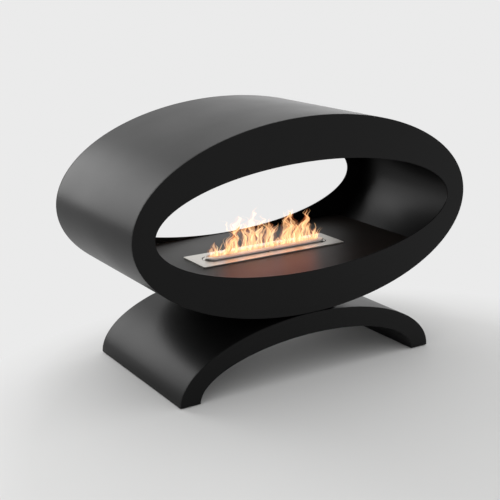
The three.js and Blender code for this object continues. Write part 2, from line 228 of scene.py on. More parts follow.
def oval_tube(name, half_width, half_height, middle, length):
    start = bpy.ops.mesh.primitive_cylinder_add
    return oval(name, start, half_width, half_height, middle, length, depth=1, end_fill_type="NOTHING")


def thicken(piece, sheet):
    modify(piece, "SOLIDIFY", thickness=sheet, offset=-1, use_even_offset=True)


# %% Drills for the four joint bolts
BOLT_PLACES = {
    node.replace("joint_bolt_", ""): middle_of[node].xy
    for node in sorted(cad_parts)
    if node.startswith("joint_bolt_")
}
BOLT_HOLE = 9 * MM
DRILL_STEPS = 32
bolt_low, bolt_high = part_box("joint_bolt_front_left")


def upright_bar(name, radius, bottom, top, steps, place=(0, 0)):
    return add(
        name,
        bpy.ops.mesh.primitive_cylinder_add,
        vertices=steps,
        radius=radius,
        depth=top - bottom,
        location=(*place, (bottom + top) / 2),
    )


def drill_bolt_holes(piece):
    """Cuts the four holes with one set of drills, and takes the drills away again."""
    drills = [
        upright_bar("drill_" + side, BOLT_HOLE / 2, bolt_low.z, bolt_high.z, DRILL_STEPS, place)
        for side, place in BOLT_PLACES.items()
    ]
    cut(piece, join(drills))


# %% Roll the body skin
SKIN_EDGE = 0.6 * MM
body_skin = oval_tube("body_skin", body_a, body_b, body_middle, skin_high.y - skin_low.y)
thicken(body_skin, SHEET)
drill_bolt_holes(body_skin)
round_edges(body_skin, SKIN_EDGE)
tell(body_skin)

# %% [markdown]
# ## The two fire rings
#
# A flat oval ring closes the tunnel at each end and frames the fire. The opening isn't a smaller
# copy of the outline: it is flatter, with a wide border above and below. Two ovals are drawn,
# the strip between them is bridged, and that flat ring is drawn back by the thickness of the
# sheet. The second ring is a copy with its own mesh.


# %% A flat ring between two ovals
def oval_loop(name, half_width, half_height, middle):
    start = bpy.ops.mesh.primitive_circle_add
    return oval(name, start, half_width, half_height, middle, fill_type="NOTHING")


def bridge(outer, inner):
    join([outer, inner])
    edit(outer, "EDGE")
    bpy.ops.mesh.bridge_edge_loops()
    deselect()
    return outer


def draw_back(piece, depth):
    edit(piece, "FACE")
    extrude((0, depth, 0))
    tidy(piece)


def copy_to(piece, name, shift):
    take(piece)
    bpy.ops.object.duplicate(linked=False)
    twin = bpy.context.object
    twin.name = twin.data.name = name
    twin.location = shift
    apply_place(twin)
    return twin


# %% Cut the rings
RING_EDGE = 0.8 * MM
ring_low, ring_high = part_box("front_ring")
ring_front = Vector((body_middle.x, ring_low.y, body_middle.z))
front_fire_ring = bridge(
    oval_loop("front_fire_ring", body_a, body_b, ring_front),
    oval_loop("fire_opening", body_a - SIDE_BORDER, body_b - TOP_BORDER, ring_front),
)
draw_back(front_fire_ring, ring_high.y - ring_low.y)
round_edges(front_fire_ring, RING_EDGE)
ring_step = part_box("rear_ring")[0].y - ring_low.y
rear_fire_ring = copy_to(front_fire_ring, "rear_fire_ring", (0, ring_step, 0))
tell(front_fire_ring, rear_fire_ring)

# %% [markdown]
# ## The arched base
#
# The base is a hollow arch: a top skin and an under skin, each half an oval, with a cheek over
# them at the front and at the rear. Each starts as a whole oval, as the body's pieces do, and is
# then bisected at the floor line, where the lower half is cleared.

# %% Half ovals for the base
BASE_SKIN_EDGE = 0.5 * MM
base_a = (base_high.x - base_low.x) / 2
base_b = base_high.z - base_low.z
under_a = (arch_high.x - arch_low.x) / 2
under_b = arch_high.z - arch_low.z
base_middle = Vector((0, 0, base_low.z))
base_depth = base_high.y - base_low.y


def clear_below(piece, height):
    edit(piece)
    bpy.ops.mesh.bisect(
        plane_co=(0, 0, height), plane_no=(0, 0, 1), clear_inner=True, threshold=TINY
    )
    deselect()


def arch_skin(name, half_width, height):
    skin = oval_tube(name, half_width, height, base_middle, base_depth)
    clear_below(skin, base_low.z)
    thicken(skin, SHEET)
    drill_bolt_holes(skin)
    round_edges(skin, BASE_SKIN_EDGE)
    return skin


base_top_skin = arch_skin("base_top_skin", base_a, base_b)
base_under_skin = arch_skin("base_under_skin", under_a, under_b)
tell(base_top_skin, base_under_skin)

# %% Cut the cheeks
cheek_low, cheek_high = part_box("arch_front_cheek")
cheek_front = Vector((0, cheek_low.y, cheek_low.z))
base_front_cheek = bridge(
    oval_loop("base_front_cheek", base_a, base_b, cheek_front),
    oval_loop("arch_opening", under_a - SHEET, under_b - SHEET, cheek_front),
)
clear_below(base_front_cheek, cheek_low.z)
draw_back(base_front_cheek, cheek_high.y - cheek_low.y)
round_edges(base_front_cheek, RING_EDGE)
cheek_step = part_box("arch_rear_cheek")[0].y - cheek_low.y
base_rear_cheek = copy_to(base_front_cheek, "base_rear_cheek", (0, cheek_step, 0))
tell(base_front_cheek, base_rear_cheek)

# %% [markdown]
# ## The burner plate
#
# The top of the burner is a 3 mm stainless plate with a long round-ended slot. The slot is
# punched by a cutter: a round bar whose two halves are pulled apart along the plate. The plate's
# corners are rounded as vertices first and its edges last.


# %% A bar with round ends
SLOT_LENGTH = 348 * MM
SLOT_WIDTH = 52 * MM
BAR_STEPS = 64


def round_ended_bar(name, length, width, bottom, top):
    bar = upright_bar(name, width / 2, bottom, top, BAR_STEPS)
    # the bar is cut down its middle first, so that its flat sides stay straight
    edit(bar)
    bpy.ops.mesh.bisect(plane_co=(0, 0, 0), plane_no=(1, 0, 0), threshold=TINY)
    for side in (-1, 1):
        edit(bar, "VERT", lambda at, _: at.x * side > NEAR)
        bpy.ops.transform.translate(value=(side * (length - width) / 2, 0, 0))
    deselect()
    return bar


# %% Press and slot the plate
PLATE_CORNER = 3 * MM
PLATE_EDGE = 0.35 * MM
CORNER_STEPS = 6


def rounded_blank(name, low, high, corner):
    """A flat plate that fills a box and has rounded corners."""
    size = high - low
    blank = add(
        name,
        bpy.ops.mesh.primitive_plane_add,
        size=1,
        location=((low.x + high.x) / 2, (low.y + high.y) / 2, low.z),
        scale=(size.x, size.y, 1),
    )
    edit(blank)
    bpy.ops.mesh.bevel(offset=corner, segments=CORNER_STEPS, affect="VERTICES")
    edit(blank, "FACE")
    extrude((0, 0, size.z))
    tidy(blank)
    return blank


fire_plate = rounded_blank("fire_plate", plate_low, plate_high, PLATE_CORNER)
punch = round_ended_bar("punch", SLOT_LENGTH, SLOT_WIDTH, plate_low.z - SHEET, plate_high.z + SHEET)
cut(fire_plate, punch)
round_edges(fire_plate, PLATE_EDGE)
tell(fire_plate)

# %% [markdown]
# ## The fuel trough
#
# The trough is pressed from one sheet and its lip is rolled outwards into a bead. Half of its
# cross-section is drawn by extruding a single vertex from point to point. The section is spun
# half a turn for one round end, drawn straight along the side, spun again, and drawn back.


# %% Draw a section and take it round a stadium
END_STEPS = 24


def draw_section(name, points):
    """One vertex, extruded from point to point in the plane of a round end's middle."""
    section = add(name, bpy.ops.mesh.primitive_plane_add, size=MM, location=points[0])
    edit(section)
    bpy.ops.mesh.merge(type="CENTER")
    for here, there in zip(points, points[1:]):
        extrude(tuple(Vector(there) - Vector(here)))
    deselect()
    return section


def round_stadium(section, half_straight):
    edit(section)
    for side in (1, -1):
        # the minus sign keeps the spin on the outer side of each end
        end = (side * half_straight, 0, 0)
        bpy.ops.mesh.spin(steps=END_STEPS, angle=-math.pi, center=end, axis=(0, 0, 1))
        extrude((-side * 2 * half_straight, 0, 0))
    deselect()
    tidy(section, NEAR)
    return section


def arc(middle, radius, start, end, steps):
    """Points (outwards, up) on an arc, its angles counted from outwards to up, in degrees."""
    turns = [math.radians(start + (end - start) * i / steps) for i in range(steps + 1)]
    return [(middle[0] + radius * math.cos(t), middle[1] + radius * math.sin(t)) for t in turns]


# %% Press the trough
TROUGH_LENGTH = 328 * MM
TROUGH_WIDTH = 30 * MM
TROUGH_SHEET = 1.5 * MM
BOTTOM_RADIUS = 4 * MM
BEAD_RADIUS = 2.5 * MM
BEAD_START = -114  # degrees, where the bead leaves the outer face of the wall
half_straight = (TROUGH_LENGTH - TROUGH_WIDTH) / 2
wall = TROUGH_WIDTH / 2
bottom = trough_low.z
top = trough_high.z
corner_middle = (wall - BOTTOM_RADIUS, bottom + BOTTOM_RADIUS)
bead_middle = (wall - TROUGH_SHEET + BEAD_RADIUS, top - BEAD_RADIUS)


def take_round(name, outline):
    """Takes a section, its points given as (outwards, up), round the trough."""
    points = [(half_straight, -out, up) for out, up in outline]
    return round_stadium(draw_section(name, points), half_straight)


outline = [(0, bottom)]
outline += arc(corner_middle, BOTTOM_RADIUS, -90, 0, 6)
outline += arc(bead_middle, BEAD_RADIUS, BEAD_START, 180, 20)
outline += arc(corner_middle, BOTTOM_RADIUS - TROUGH_SHEET, 0, -90, 4)
outline += [(0, bottom + TROUGH_SHEET)]
fire_trough = take_round("fire_trough", outline)
smooth(fire_trough, 50)
tell(fire_trough)

# %% [markdown]
# ### The rim of the trough
#
# A thin flat rim lies round the trough's lip, just below the face of the plate. It closes the
# slot at both ends and along the rear, and leaves it open along the front, where the slot shows
# as a dark line. It is the shape of the slot, a little smaller, with the trough's mouth punched
# out of it and its front strip cut off.

# %% Punch the rim
RIM_GAP = 1.5 * MM  # between the rim and the slot
RIM_SHEET = 1.2 * MM
RIM_DROP = 0.6 * MM  # below the face of the plate
RIM_TUCK = MM  # of the rim into the trough's wall, and of its front edge past the wall
RIM_EDGE = 0.3 * MM
PUNCH_REACH = 10 * MM
rim_top = plate_high.z - RIM_DROP


def punch_mouth(sheet, length, width, middle, height):
    """Cuts a round-ended mouth through a sheet that lies at a height."""
    mouth = round_ended_bar("mouth", length, width, height - PUNCH_REACH, height + PUNCH_REACH)
    mouth.location.y = middle
    cut(sheet, mouth)


trough_rim = round_ended_bar(
    "trough_rim", SLOT_LENGTH - 2 * RIM_GAP, SLOT_WIDTH - 2 * RIM_GAP, rim_top - RIM_SHEET, rim_top
)
punch_mouth(trough_rim, TROUGH_LENGTH - 2 * RIM_TUCK, TROUGH_WIDTH - 2 * RIM_TUCK, 0, rim_top)
edit(trough_rim)
bpy.ops.mesh.bisect(
    plane_co=(0, -wall - RIM_TUCK, 0),
    plane_no=(0, -1, 0),
    clear_outer=True,
    use_fill=True,
    threshold=TINY,
)
tidy(trough_rim)
round_edges(trough_rim, RIM_EDGE)
tell(trough_rim)

# %% [markdown]
# ### The cover of the trough
#
# A thin sheet lies inside the bead, over the wadding. It leaves a long narrow mouth for the flames,
# a little behind the middle. From the front it shows as a pale strip between the slot and the fire;
# its pale finish is partly painted light from the fire.

# %% Punch the cover
COVER_SHEET = MM
COVER_DROP = 0.9 * MM  # below the top of the bead
COVER_TUCK = 0.3 * MM  # of its edge into the wall of the trough
COVER_EDGE = 0.25 * MM
MOUTH_LENGTH = 314 * MM
MOUTH_WIDTH = 10 * MM
MOUTH_MIDDLE = 6.5 * MM  # behind the middle of the trough
cover_top = top - COVER_DROP
cover_width = 2 * (wall - TROUGH_SHEET + COVER_TUCK)
trough_cover = round_ended_bar(
    "trough_cover", 2 * half_straight + cover_width, cover_width, cover_top - COVER_SHEET, cover_top
)
punch_mouth(trough_cover, MOUTH_LENGTH, MOUTH_WIDTH, MOUTH_MIDDLE, cover_top)
round_edges(trough_cover, COVER_EDGE)
tell(trough_cover)

# %% [markdown]
# ## The fibre wadding and the centring tabs
#
# The trough is packed with ceramic fibre that soaks up the fuel. It takes the same way round the
# trough as the section above, and its top is cut up finely and pushed about by a cloud texture,
# so that it looks torn and not moulded. The two tabs are small blocks with rounded corners.

# %% Pack the wadding
wick_low, wick_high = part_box("ceramic_wick")
wick_out = wick_high.y
wick_top = wick_high.z
CROWN = 2 * MM  # rise of the wadding's rounded edge
CROWN_STEPS = 5
LONGEST_EDGE = 3 * MM
TUFT_SIZE = 5 * MM
TUFT_DEPTH = 3 * MM
TUFT_MARGIN = 0.5 * MM  # left smooth beside the trough's wall
crown_start = wick_top - CROWN
wick_outline = [(0, wick_low.z), (wick_out, wick_low.z), (wick_out, crown_start)]
for step in range(1, CROWN_STEPS + 1):
    share = step / CROWN_STEPS
    wick_outline.append((wick_out - CROWN * share, wick_top - CROWN * (1 - share) ** 2))
wick_outline.append((0, wick_top))
fibre_wick = take_round("fibre_wick", wick_outline)
edit(fibre_wick, "FACE", lambda at, face: at.z > crown_start and face.normal.z > 0.3)
bpy.ops.mesh.subdivide(number_cuts=3)
for _ in range(3):
    edit(
        fibre_wick,
        "EDGE",
        lambda at, side: at.z > crown_start and side.calc_length() > LONGEST_EDGE,
    )
    bpy.ops.mesh.subdivide(number_cuts=1)
deselect()
top_of_wick = fibre_wick.vertex_groups.new(name="top")
for corner in fibre_wick.data.vertices:
    inside = wick_out - abs(corner.co.y)
    if corner.co.z > crown_start and inside > TUFT_MARGIN:
        top_of_wick.add([corner.index], 1, "REPLACE")
tufts = clouds("fibre_tufts", TUFT_SIZE, 2)
push(fibre_wick, "top", tufts, "Z", TUFT_DEPTH, middle=0.9)
smooth(fibre_wick, 80)
tell(fibre_wick)

# %% Round the tabs
TAB_CORNER = 2.5 * MM
TAB_EDGE = 0.4 * MM
tab_low, tab_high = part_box("trough_tab_front")
front_tab = add(
    "front_tab",
    bpy.ops.mesh.primitive_cube_add,
    size=1,
    location=(tab_low + tab_high) / 2,
    scale=tuple(tab_high - tab_low),
)


def upright_and_foremost(at, side):
    rise = abs(side.verts[0].co.z - side.verts[1].co.z)
    return rise > MM and at.y < tab_low.y + MM


edit(front_tab, "EDGE", upright_and_foremost)
bpy.ops.mesh.bevel(offset=TAB_CORNER, segments=5, affect="EDGES")
deselect()
round_edges(front_tab, TAB_EDGE)
rear_tab = copy_to(front_tab, "rear_tab", (0, 0, 0))
edit(rear_tab)
bpy.ops.transform.mirror(constraint_axis=(False, True, False), center_override=(0, 0, 0))
bpy.ops.mesh.normals_make_consistent(inside=False)
deselect()
print("tabs reach from", round(tab_low.y, 4), "to", round(tab_high.y, 4))

# %% [markdown]
# ## Flange bolts, nuts and floor pads
#
# Four flange bolts hold the body on the base. Their heads show under the arch, so they get the
# chamfered hexagon and the washer-like flange that such bolts have. One of each is modelled where
# its solid is, and the other three are copies.


# %% A flange with a hexagon on it
def chamfer(piece, width, wanted):
    edit(piece, "EDGE", wanted)
    bpy.ops.mesh.bevel(offset=width, segments=2, affect="EDGES")
    deselect()


def fuse(piece, *others):
    """Joins overlapping closed shapes into one skin."""
    for other in others:
        modify(piece, "BOOLEAN", operation="UNION", solver="EXACT", object=other)
        remove(other)


ROUND_STEPS = 48


def bolt_bar(name, radius, bottom, top, steps=ROUND_STEPS):
    """An upright bar on the first bolt's axis."""
    return upright_bar(name, radius, bottom, top, steps, BOLT_PLACES["front_left"])


ACROSS_FLATS = 13 * MM
FLANGE_SHEET = 1.5 * MM
HEAD_HEIGHT = 5.3 * MM
HEAD_CHAMFER = 0.8 * MM
FLANGE_CHAMFER = 0.6 * MM
OVERLAP = MM  # of two forms that are fused
hexagon_radius = ACROSS_FLATS / 3**0.5
nut_low, nut_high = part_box("joint_nut_front_left")
flange_radius = (bolt_high.x - bolt_low.x) / 2
flange_bottom = bolt_low.z + HEAD_HEIGHT

# %% Turn the bolt
SHANK_RADIUS = 4 * MM
SHANK_CHAMFER = MM
flange_bolt = bolt_bar("flange_bolt", hexagon_radius, bolt_low.z, flange_bottom + OVERLAP, 6)
chamfer(flange_bolt, HEAD_CHAMFER, lambda at, _: at.z < bolt_low.z + NEAR)
flange = bolt_bar("flange", flange_radius, flange_bottom, flange_bottom + FLANGE_SHEET)
chamfer(flange, FLANGE_CHAMFER, lambda at, _: at.z < flange_bottom + NEAR)
shank = bolt_bar("shank", SHANK_RADIUS, flange_bottom + OVERLAP, bolt_high.z)
chamfer(shank, SHANK_CHAMFER, lambda at, _: at.z > bolt_high.z - NEAR)
fuse(flange_bolt, flange, shank)
smooth(flange_bolt, 30)

# %% Cut the nut
BORE_RADIUS = 4.2 * MM
nut_flange_top = nut_low.z + FLANGE_SHEET
flange_nut = bolt_bar("flange_nut", hexagon_radius, nut_flange_top - OVERLAP, nut_high.z, 6)
chamfer(flange_nut, HEAD_CHAMFER, lambda at, _: at.z > nut_high.z - NEAR)
fuse(flange_nut, bolt_bar("nut_flange", flange_radius, nut_low.z, nut_flange_top))
cut(flange_nut, bolt_bar("bore", BORE_RADIUS, nut_low.z - MM, nut_high.z + MM))
smooth(flange_nut, 30)

# %% Mould the floor pads
PAD_CORNER = 6 * MM
PAD_EDGE = 0.4 * MM
rubber_pad = rounded_blank("rubber_pad", *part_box("floor_pad_front_left"), PAD_CORNER)
round_edges(rubber_pad, PAD_EDGE)

# %% Copy them to their places
SIDES = ("front_left", "front_right", "rear_left", "rear_right")
sets = {"joint_bolt_": flange_bolt, "joint_nut_": flange_nut, "floor_pad_": rubber_pad}
small_pieces = {}
for prefix, first in sets.items():
    first_name = first.name
    for side in SIDES[1:]:
        shift = middle_of[prefix + side] - middle_of[prefix + SIDES[0]]
        small_pieces[prefix + side] = copy_to(first, f"{first_name}_{side}", tuple(shift))
    first.name = first.data.name = f"{first_name}_{SIDES[0]}"
    small_pieces[prefix + SIDES[0]] = first
print(len(small_pieces), "bolts, nuts and pads")

# %% [markdown]
# ## The fire
#
# Flames have no surface, but at this size they read as bright tongues with deep gaps between
# them. One tongue is drawn: a small disc, extruded upwards ring by ring, wide near its foot and
# drawn to a point. Many copies stand along the wadding. Two cloud textures then push all of them
# sideways, the more the higher they reach, so that no two stay alike and they curl together.
# Every point keeps its heat, from 1 at the foot to 0 at the tip, for its colour. Lengths in these
# cells are in millimetres until the points are placed.

# %% Draw one tongue
import random

TONGUE_SIDES = 8
TONGUE_RINGS = 14
TONGUE_POINT = 0.004
TONGUE_FOOT = 0.55
TONGUE_SWELL = 2.2
TONGUE_TAPER = 0.95


def tongue_width(share):
    """Width at a share of the height: a narrow foot, a belly low down and a long point."""
    if share >= 1:
        return TONGUE_POINT
    return max(TONGUE_POINT, (TONGUE_FOOT + TONGUE_SWELL * share) * (1 - share) ** TONGUE_TAPER)


tongue = add(
    "tongue",
    bpy.ops.mesh.primitive_circle_add,
    vertices=TONGUE_SIDES,
    radius=tongue_width(0),
    fill_type="NGON",
)
edit(tongue, "FACE")
for ring in range(1, TONGUE_RINGS + 1):
    share_below, share = (ring - 1) / TONGUE_RINGS, ring / TONGUE_RINGS
    extrude((0, 0, 1 / TONGUE_RINGS))
    taper = tongue_width(share) / tongue_width(share_below)
    bpy.ops.transform.resize(value=(taper, taper, 1), center_override=(0, 0, share))
tidy(tongue)
tell(tongue)

# %% Light them along the trough
FIRE_SEED = 42
SWAY = 0.17  # of each tongue from side to side, as a share of its height
SWAY_TURN = 4.5  # radians of that swing from foot to tip
FLATNESS = 0.8  # depth of a tongue as a share of its width
FOOT_DROP = 1.5  # of the feet into the wadding
CALM_HEIGHT = 70 * MM  # where the curling reaches its full strength
# (place along the trough, height of the tallest flames there)
FIRE_OUTLINE = (
    (-146, 28), (-136, 42), (-122, 20), (-108, 58), (-94, 78), (-78, 94), (-62, 70),
    (-46, 74), (-28, 108), (-12, 88), (6, 76), (22, 62), (38, 26), (54, 66),
    (68, 96), (84, 92), (102, 76), (122, 84), (138, 50), (152, 32),
)


def fire_height(x):
    for (x0, h0), (x1, h1) in zip(FIRE_OUTLINE, FIRE_OUTLINE[1:]):
        if x <= x1:
            share = max(0, (x - x0) / (x1 - x0))
            return h0 + (h1 - h0) * share
    return FIRE_OUTLINE[-1][1]


def make_fire(name, licks, swell, stretch):
    """Copies of the tongue, joined: each lick is (x, y, width, height, lean, phase)."""
    copies = []
    for x, y, width, height, lean, phase in licks:
        lick = tongue.copy()
        lick.data = tongue.data.copy()
        bpy.context.collection.objects.link(lick)
        heat = lick.data.attributes.new("heat", "FLOAT", "POINT")
        for index, corner in enumerate(lick.data.vertices):
            share = corner.co.z
            heat.data[index].value = 1 - share
            rise = share * height * stretch
            sway = SWAY * height * share * math.sin(phase + SWAY_TURN * share)
            corner.co.x = (x + corner.co.x * width * swell + lean * rise * share + sway) * MM
            corner.co.y = (y + corner.co.y * width * swell * FLATNESS) * MM
            corner.co.z = wick_top + (rise - FOOT_DROP) * MM
        copies.append(lick)
    fire = join(copies)
    fire.name = fire.data.name = name
    loose = fire.vertex_groups.new(name="loose")
    for corner in fire.data.vertices:
        freedom = (corner.co.z - wick_top) / CALM_HEIGHT
        loose.add([corner.index], min(1, max(0, freedom)), "REPLACE")
    return fire


# (spread along the trough, how many, widths, shares of the full height)
FLAME_KINDS = (
    (1.0, 1, (6.0, 9.0), (0.90, 1.0)),
    (7.0, 2, (2.8, 4.6), (0.45, 1.00)),
    (11.0, 4, (1.3, 2.2), (0.40, 1.05)),
)
MOUTH_SPAN = (3, 10)  # how far behind the trough's middle the feet stand
LEANS = (-0.1, 0.3)
PHASES = (0, 6.3)
SMALL_LICKS = 60
SMALL_SPAN = (-143, 152)
SMALL_WIDTHS = (2.0, 3.6)
SMALL_SHARES = (0.12, 0.30)
SMALL_LEAST = 8  # added to each small lick's height
SMALL_LEAN = 0.1
BROAD = 4  # width past which a lick also gets a veil
chance = random.Random(FIRE_SEED)
licks = []
for x, height in FIRE_OUTLINE:
    for spread, count, widths, shares in FLAME_KINDS:
        for _ in range(count):
            at = x + chance.uniform(-1, 1) * spread
            tall = height * chance.uniform(*shares)
            lean, phase = chance.uniform(*LEANS), chance.uniform(*PHASES)
            behind, width = chance.uniform(*MOUTH_SPAN), chance.uniform(*widths)
            licks.append((at, behind, width, tall, lean, phase))
for _ in range(SMALL_LICKS):
    at = chance.uniform(*SMALL_SPAN)
    tall = chance.uniform(*SMALL_SHARES) * fire_height(at) + SMALL_LEAST
    behind, width = chance.uniform(*MOUTH_SPAN), chance.uniform(*SMALL_WIDTHS)
    licks.append((at, behind, width, tall, SMALL_LEAN, chance.uniform(*PHASES)))
broad_licks = [lick for lick in licks if lick[2] > BROAD]
print(len(licks), "licks,", len(broad_licks), "of them broad")

# %% Let them curl
curls = clouds("curls", 34 * MM, 1)
ripples = clouds("ripples", 12 * MM, 0)
PUSHES = ((curls, "X", 54 * MM), (ripples, "X", 26 * MM), (curls, "Y", 26 * MM))
flame_cores = make_fire("flame_cores", licks, swell=0.7, stretch=1.0)
flame_veils = make_fire("flame_veils", broad_licks, swell=1.7, stretch=1.03)
for fire in (flame_cores, flame_veils):
    for texture, direction, strength in PUSHES:
        push(fire, "loose", texture, direction, strength)
    smooth(fire, 180)
remove(tongue)
tell(flame_cores, flame_veils)

# %% [markdown]
# ## Even shading
#
# A long sheet with a rounded edge shades badly if its corners share their normals evenly with
# the tiny faces of the edge: the tilt spreads over the whole sheet. Weighted normals give the
# large faces the say, so that flat stays flat and the light runs straight along the skins.

# %% Weigh the normals
black_sheets = {
    "outer_shell": body_skin,
    "front_ring": front_fire_ring,
    "rear_ring": rear_fire_ring,
    "arch_top_skin": base_top_skin,
    "arch_under_skin": base_under_skin,
    "arch_front_cheek": base_front_cheek,
    "arch_rear_cheek": base_rear_cheek,
}
large_sheets = (*black_sheets.values(), fire_plate, trough_rim, trough_cover)
for sheet in large_sheets:
    modify(sheet, "WEIGHTED_NORMAL", keep_sharp=True)
print(len(large_sheets), "sheets shade evenly")

# %% [markdown]
# ## Finishes
#
# Every finish is a node material that reads the piece's own coordinates in metres. What more than
# one finish uses, the grain of powder coat and the streaks of brushing, is a node group that puts
# out masks. The shader itself stays in the material, with its constants on its own sockets.


# %% Node helpers
def new_group(name, inputs, outputs):
    tree = bpy.data.node_groups.new(name, "ShaderNodeTree")
    for label, kind, value in inputs:
        socket = tree.interface.new_socket(name=label, in_out="INPUT", socket_type=kind)
        if value is not None:
            socket.default_value = value
    for label, kind in outputs:
        tree.interface.new_socket(name=label, in_out="OUTPUT", socket_type=kind)
    return tree, tree.nodes.new("NodeGroupInput"), tree.nodes.new("NodeGroupOutput")


def feed(tree, socket, value):
    """Links another node's socket to this one, or sets a plain value on it."""
    if isinstance(value, bpy.types.NodeSocket):
        tree.links.new(value, socket)
    else:
        socket.default_value = value


def node(tree, kind, settings=(), **inputs):
    """A node with its settings, and its inputs given as values or as sockets to link."""
    made = tree.nodes.new(kind)
    for name, value in dict(settings).items():
        setattr(made, name, value)
    for label, value in inputs.items():
        feed(tree, made.inputs[label.replace("_", " ")], value)
    return made


def combine(tree, operation, first, second):
    """Two values put together by one operation of a Math node."""
    made = node(tree, "ShaderNodeMath", {"operation": operation})
    feed(tree, made.inputs[0], first)
    feed(tree, made.inputs[1], second)
    return made.outputs["Value"]


def noise(tree, place, scale, detail):
    """Noise from 0 to 1, its scale in waves per unit of the place."""
    made = node(tree, "ShaderNodeTexNoise", Vector=place, Scale=scale, Detail=detail)
    return made.outputs["Fac"]


def blend(tree, mask, dark, light):
    """A colour between two, by a mask from 0 to 1."""
    mix = tree.nodes.new("ShaderNodeMix")
    mix.data_type = "RGBA"
    tree.links.new(mask, mix.inputs["Factor"])
    for label, colour in (("A", dark), ("B", light)):
        socket = next(s for s in mix.inputs if s.name == label and s.type == "RGBA")
        socket.default_value = (*colour, 1)
    return next(s for s in mix.outputs if s.type == "RGBA")


def span(tree, value, low, high, start=0.0, end=1.0):
    """A value taken from one range to another."""
    made = node(tree, "ShaderNodeMapRange", {"clamp": True}, Value=value)
    made.inputs["From Min"].default_value = start
    made.inputs["From Max"].default_value = end
    made.inputs["To Min"].default_value = low
    made.inputs["To Max"].default_value = high
    return made.outputs["Result"]


def finish(name, **constants):
    """A material with its Principled shader, and the object's own coordinates."""
    material = bpy.data.materials.new(name)
    material.use_nodes = True
    tree = material.node_tree
    shader = tree.nodes["Principled BSDF"]
    for label, value in constants.items():
        shader.inputs[label.replace("_", " ")].default_value = value
    place = tree.nodes.new("ShaderNodeTexCoord").outputs["Object"]
    return material, tree, shader, place


def wire(tree, shader, colour=None, roughness=None, height=None, depth=0.0001, strength=1.0):
    if colour is not None:
        tree.links.new(colour, shader.inputs["Base Color"])
    if roughness is not None:
        tree.links.new(roughness, shader.inputs["Roughness"])
    if height is not None:
        bump = node(tree, "ShaderNodeBump", Strength=strength, Distance=depth, Height=height)
        tree.links.new(bump.outputs["Normal"], shader.inputs["Normal"])


# %% [markdown]
# ### Powder coat
#
# The black is a satin powder coat. Melted powder flows into a skin like that of an orange, with
# dimples about two millimetres across and microns deep, and its gloss drifts a little over a
# large sheet. The paint is almost pure black: what looks grey on the object is reflection.

# %% The grain of powder coat
coat_grain, coat_in, coat_out = new_group(
    "powder_coat_grain",
    [("Place", "NodeSocketVector", None), ("Dimples per metre", "NodeSocketFloat", 450.0)],
    [("Gloss drift", "NodeSocketFloat"), ("Height", "NodeSocketFloat")],
)
drift = noise(coat_grain, coat_in.outputs["Place"], 5.0, 4.0)
dimples = noise(coat_grain, coat_in.outputs["Place"], coat_in.outputs["Dimples per metre"], 2.0)
coat_grain.links.new(drift, coat_out.inputs["Gloss drift"])
coat_grain.links.new(dimples, coat_out.inputs["Height"])


# %% Satin black coats
def powder_coat(name, dark, light, gloss, reflectance):
    """A black between two, rougher from the first gloss to the second."""
    material, tree, shader, place = finish(name, Specular_IOR_Level=reflectance)
    grain = node(tree, "ShaderNodeGroup", {"node_tree": coat_grain}, Place=place)
    drift = grain.outputs["Gloss drift"]
    wire(
        tree,
        shader,
        colour=blend(tree, drift, dark, light),
        roughness=span(tree, drift, gloss[0], gloss[1], 0.3, 0.7),
        height=grain.outputs["Height"],
        depth=0.00006,
    )
    return material


outer_coat = powder_coat(
    "satin_black_coat", (0.0018, 0.0018, 0.0019), (0.0032, 0.0032, 0.0033), (0.33, 0.39), 0.16
)
inner_coat = powder_coat(
    "inner_black_coat", (0.0025, 0.0025, 0.0025), (0.004, 0.004, 0.004), (0.38, 0.46), 0.18
)
hearth_coat = powder_coat(
    "hearth_coat", (0.011, 0.0085, 0.0072), (0.015, 0.0120, 0.0105), (0.40, 0.47), 0.13
)

# %% [markdown]
# ### Brushed stainless and zinc
#
# Brushed steel is noise pulled out along the stroke: thousands of fine streaks across it and a
# few long ones along it. The streaks change the gloss more than the colour. The trough is dulled by
# heat, so it is less metallic than the plate and spreads the light of the fire. Its paler colour is
# partly painted light: it stands in for the fire's glow on the trough and on its cover.

# %% The streaks of brushing
brushing, brush_in, brush_out = new_group(
    "brushed_streaks",
    [
        ("Place", "NodeSocketVector", None),
        ("Along", "NodeSocketFloat", 12.0),
        ("Across", "NodeSocketFloat", 1800.0),
    ],
    [("Streak", "NodeSocketFloat"), ("Height", "NodeSocketFloat")],
)
along, across = brush_in.outputs["Along"], brush_in.outputs["Across"]
stroke = node(brushing, "ShaderNodeCombineXYZ", X=along, Y=across, Z=across)
pulled = node(brushing, "ShaderNodeVectorMath", {"operation": "MULTIPLY"})
brushing.links.new(brush_in.outputs["Place"], pulled.inputs[0])
brushing.links.new(stroke.outputs["Vector"], pulled.inputs[1])
fine = noise(brushing, pulled.outputs["Vector"], 1.0, 3.0)
broad = noise(brushing, pulled.outputs["Vector"], 0.12, 2.0)
both = combine(brushing, "ADD", fine, broad)
brushing.links.new(combine(brushing, "MULTIPLY", both, 0.5), brush_out.inputs["Streak"])
brushing.links.new(fine, brush_out.inputs["Height"])


# %% Stainless and zinc plate
def brushed_metal(name, dark, light, gloss, along, across, depth, metallic=1.0):
    material, tree, shader, place = finish(name, Metallic=metallic)
    streaks = node(
        tree, "ShaderNodeGroup", {"node_tree": brushing}, Place=place, Along=along, Across=across
    )
    streak = streaks.outputs["Streak"]
    wire(
        tree,
        shader,
        colour=blend(tree, span(tree, streak, 0, 1, 0.3, 0.7), dark, light),
        roughness=span(tree, streak, gloss[0], gloss[1], 0.3, 0.7),
        height=streaks.outputs["Height"],
        depth=depth,
    )
    return material


